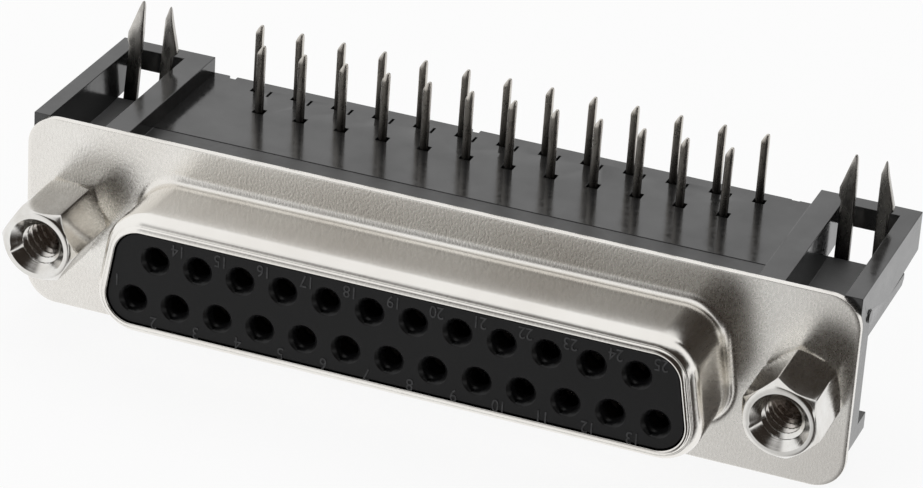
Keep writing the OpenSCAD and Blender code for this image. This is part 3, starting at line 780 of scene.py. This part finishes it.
def jack_socket(side, x, turn):
    """Surfaces of revolution about -Y whose radius is a function of angle and depth.

    The outside is the hexagon, cut by a cone at the front and a shorter one at the heel. The inside is the
    countersink's cone or the tapped wall, whichever lies further out. The cone is widest where the thread
    starts and narrows over one turn, which leaves a step there."""
    line = hexagon_line(turn)
    angle = np.arctan2(line[:, 1], line[:, 0])
    hexagon = np.hypot(line[:, 0], line[:, 1])
    corner = hexagon.max()
    share = (hexagon - ring_outer) / (corner - ring_outer)
    front_edge, heel_edge = corner_cut * share, heel_cut * share
    length = flange_y
    mouth = ring_inner + thread_mouth * (1 - np.mod(angle - step_angle, 2 * math.pi) / (2 * math.pi))
    rows = []

    def row(depth, radius):
        y = depth * np.ones_like(angle)
        rows.append(np.stack([x + radius * np.cos(angle), y, radius * np.sin(angle)], 1))

    row(length - bore_end + 0.3 * mm, 0.0)
    row(length - bore_end, thread_minor)
    for depth in (*np.linspace(length - bore_end, sink_depth + 0.02 * mm, 150),
                  *np.linspace(sink_depth, 0, 48)):
        sink = mouth - (mouth - thread_minor) * depth / sink_depth
        row(depth, np.maximum(sink, tapped(angle, depth)))
    row(0.0, mouth + 0.012 * mm)
    row(0.0, 0.5 * (mouth + ring_outer))
    row(0.0, ring_outer - 0.02 * mm)
    row(0.008 * mm, ring_outer)
    for t in (0.3, 0.65, 0.93):
        row(front_edge * t, ring_outer + (hexagon - ring_outer) * t)
    row(front_edge + 0.015 * mm, hexagon - 0.004 * mm)
    row(front_edge + 0.06 * mm, hexagon)
    for t in (0.35, 0.65):
        row(front_edge + (length - front_edge) * t, hexagon)
    row(length - heel_edge - 0.04 * mm, hexagon)
    row(length - heel_edge, hexagon - 0.01 * mm)
    grip, end = length + grip_y, length + shank_end_y
    shank, thin = thread_major - 0.02 * mm, thread_minor + 0.05 * mm
    for depth, radius in ((length, ring_outer), (length, shank), (grip, shank), (grip, thin),
                          (end - 0.2 * mm, thin), (end, thread_minor - 0.15 * mm), (end, 0.0)):
        row(depth, radius)
    piece = sheet_piece(f"jack_socket_turned_{side}", [(np.array(rows), False)])
    piece.data.set_sharp_from_angle(angle=math.radians(32))
    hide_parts(f"jack_socket_{side}")
    return piece


def turned_nickel(name, x):
    """Bright nickel over a part turned about the axis at x: the tool's rings on the front, drawing lines
    along the flats. Deep in the bore the thread is painted darker and browner, a painted shade."""
    made, shader, add = node_graph(name)
    place = add("ShaderNodeTexCoord").outputs["Object"]
    centred = add("ShaderNodeMapping", {"Vector": place, "Location": (-x, 0, 0)})
    split = add("ShaderNodeSeparateXYZ", {"Vector": centred.outputs["Vector"]})
    flat_ray = add("ShaderNodeCombineXYZ", {"X": split.outputs["X"], "Z": split.outputs["Z"]})
    radius = add("ShaderNodeVectorMath", {0: flat_ray.outputs["Vector"]}, operation="LENGTH")
    ring_place = add("ShaderNodeCombineXYZ", {"X": radius.outputs["Value"], "Y": split.outputs["Y"]})
    rings = add("ShaderNodeTexNoise", {"Vector": ring_place.outputs["Vector"], "Scale": 9000.0,
                                       "Detail": 2.0})
    drawn = add("ShaderNodeMapping", {"Vector": place, "Scale": (1.0, 0.06, 1.0)})
    lines = add("ShaderNodeTexNoise", {"Vector": drawn.outputs["Vector"], "Scale": 7000.0, "Detail": 2.0})
    front = add("ShaderNodeMath", {0: split.outputs["Y"], 1: corner_cut}, operation="LESS_THAN")
    relief = add("ShaderNodeMix", {"Factor": front.outputs["Value"], "A": lines.outputs["Fac"],
                                   "B": rings.outputs["Fac"]})
    cloud = add("ShaderNodeTexNoise", {"Vector": place, "Scale": 900.0, "Detail": 3.0})
    tone = two_tone(add, cloud.outputs["Fac"], (0.72, 0.70, 0.665), (0.82, 0.81, 0.785), 0.3, 0.7)
    narrow = add("ShaderNodeMapRange", {"Value": radius.outputs["Value"], "From Min": 1.45 * mm,
                                        "From Max": 1.50 * mm, "To Min": 1.0, "To Max": 0.0})
    deep = add("ShaderNodeMapRange", {"Value": split.outputs["Y"], "From Min": 1.2 * mm,
                                      "From Max": 3.2 * mm})
    stub = add("ShaderNodeMapRange", {"Value": split.outputs["Y"], "From Min": 5.4 * mm, "From Max": 5.6 * mm,
                                      "To Min": 1.0, "To Max": 0.0})
    deep_narrow_bore = add("ShaderNodeMath", {0: narrow.outputs["Result"], 1: deep.outputs["Result"]},
                operation="MULTIPLY")
    inside = add("ShaderNodeMath", {0: deep_narrow_bore.outputs[0], 1: stub.outputs["Result"]}, operation="MULTIPLY")
    # Painted shade: deep in the narrow bore the colour is mixed towards dark brown.
    tone_and_bore_shade = add("ShaderNodeMix", {"Factor": inside.outputs[0], 6: tone, 7: (0.52, 0.45, 0.40, 1)},
                 data_type="RGBA")
    rough = add("ShaderNodeMapRange", {"Value": relief.outputs["Result"], "From Min": 0.3, "From Max": 0.7,
                                       "To Min": 0.10, "To Max": 0.20})
    bump = add("ShaderNodeBump", {"Height": relief.outputs["Result"], "Strength": 0.25, "Distance": 0.00001})
    shader.inputs["Metallic"].default_value = 1.0
    link(made, tone_and_bore_shade.outputs[2], shader.inputs["Base Color"])
    link(made, rough.outputs["Result"], shader.inputs["Roughness"])
    link(made, bump.outputs["Normal"], shader.inputs["Normal"])
    return made


for side, x, turn in (("left", -socket_x, -2.0), ("right", socket_x, -19.5)):
    piece = jack_socket(side, x, turn)
    piece.data.materials.append(turned_nickel(f"bright nickel {side}", x))

# ---------------------------------------------------------------------------------------------
# Floor and light: a white table, a broad soft light above and behind, a weaker one in front on the left.
# Mirroring surfaces see neither, but a white room with a dark gap in front that a narrow bright strip cuts on
# the right, and a dark doorway behind on the right.
table_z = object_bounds()[0][2]
table_half = 1.6
floor_mesh = bpy.data.meshes.new("table")
floor_mesh.from_pydata([(-table_half, -table_half, table_z), (table_half, -table_half, table_z),
                        (table_half, table_half, table_z), (-table_half, table_half, table_z)], [],
                       [(0, 1, 2, 3)])
table = bpy.data.objects.new("table", floor_mesh)
bpy.context.scene.collection.objects.link(table)

table_white = bpy.data.materials.new("table white")
table_white.use_nodes = True
table_white.node_tree.nodes.clear()
add = adder(table_white.node_tree)
ray = add("ShaderNodeLightPath").outputs
through = add("ShaderNodeMath", {0: ray["Is Camera Ray"], 1: ray["Is Transmission Ray"]}, operation="MAXIMUM")
share = add("ShaderNodeMath", {0: through.outputs[0], 1: 0.9}, operation="MULTIPLY")
matt = add("ShaderNodeBsdfDiffuse", {"Color": (0.92, 0.92, 0.92, 1)})
glow = add("ShaderNodeEmission", {"Color": (1, 1, 1, 1), "Strength": 1.0})
both = add("ShaderNodeMixShader", {"Fac": share.outputs[0], 1: matt.outputs[0], 2: glow.outputs[0]})
clear = add("ShaderNodeBsdfTransparent")
top = add("ShaderNodeMixShader", {"Fac": ray["Is Glossy Ray"], 1: both.outputs[0], 2: clear.outputs[0]})
add("ShaderNodeOutputMaterial", {"Surface": top.outputs[0]})
floor_mesh.materials.append(table_white)

world = bpy.data.worlds.new("studio")
bpy.context.scene.world = world
world.use_nodes = True
world.node_tree.nodes.clear()
add = adder(world.node_tree)
ray = add("ShaderNodeLightPath").outputs
way = add("ShaderNodeSeparateXYZ", {"Vector": add("ShaderNodeTexCoord").outputs["Generated"]}).outputs


def tilted(socket, other, factor):
    """The socket plus that share of the other one: a direction turned a little towards it."""
    return add("ShaderNodeMath", {0: other, 1: factor, 2: socket}, operation="MULTIPLY_ADD").outputs[0]


def fade(socket, first, last, low=0.0, high=1.0):
    """Goes softly from low to high as the socket goes from first to last."""
    return add("ShaderNodeMapRange", {"Value": socket, "From Min": first, "From Max": last, "To Min": low,
                                      "To Max": high}, interpolation_type="SMOOTHSTEP").outputs["Result"]


def both_of(a, b):
    return add("ShaderNodeMath", {0: a, 1: b}, operation="MULTIPLY").outputs[0]


def off(socket, middle):
    """How far the socket is from the middle, either way."""
    apart = add("ShaderNodeMath", {0: socket, 1: middle}, operation="SUBTRACT")
    return add("ShaderNodeMath", {0: apart.outputs[0]}, operation="ABSOLUTE").outputs[0]


gap = both_of(both_of(fade(tilted(way["X"], way["Z"], 0.2), -0.45, -0.05),
                      fade(off(tilted(way["X"], way["Z"], -0.6), 0.88), 0.05, 0.14)),
              both_of(fade(tilted(way["Y"], way["X"], -0.25), -0.50, -0.12, 1.0, 0.0),
                      fade(way["Z"], 0.78, 0.92, 1.0, 0.0)))
door = both_of(both_of(fade(way["X"], 0.23, 0.35), fade(way["Y"], 0.3, 0.6)), fade(way["Z"], 0.0, 0.15))
dim = add("ShaderNodeMath", {0: gap, 1: door}, operation="MAXIMUM")
tint = add("ShaderNodeMix", {"Factor": dim.outputs[0], 6: (0.97, 0.97, 0.97, 1), 7: (0.030, 0.024, 0.020, 1)},
           data_type="RGBA")
room = add("ShaderNodeBackground", {"Color": tint.outputs[2], "Strength": 1.0})
beyond = add("ShaderNodeBackground", {"Strength": 1.0})
ambient = add("ShaderNodeBackground", {"Strength": 0.32})
through = add("ShaderNodeMath", {0: ray["Is Camera Ray"], 1: ray["Is Transmission Ray"]}, operation="MAXIMUM")
seen = add("ShaderNodeMixShader", {"Fac": ray["Is Glossy Ray"], 1: ambient.outputs[0], 2: room.outputs[0]})
all_rays = add("ShaderNodeMixShader", {"Fac": through.outputs[0], 1: seen.outputs[0], 2: beyond.outputs[0]})
add("ShaderNodeOutputWorld", {"Surface": all_rays.outputs[0]})


def softbox(name, place, aim, width, height, watts):
    """A flat soft light at a place, facing a point."""
    lamp = bpy.data.lights.new(name, "AREA")
    lamp.shape = "RECTANGLE"
    lamp.size, lamp.size_y = width, height
    lamp.energy = watts
    made = bpy.data.objects.new(name, lamp)
    bpy.context.scene.collection.objects.link(made)
    made.location = place
    made.rotation_euler = (Vector(aim) - Vector(place)).to_track_quat("-Z", "Y").to_euler()
    return made


for lamp in (softbox("overhead", (0.0, 0.30, 0.60), (0, 0.02, 0), 0.95, 0.7, 3.1),
             softbox("left", (-0.37, -0.44, 0.26), (0, 0, 0), 0.52, 0.56, 1.2)):
    lamp.visible_glossy = False

bpy.context.scene.view_settings.view_transform = "Standard"
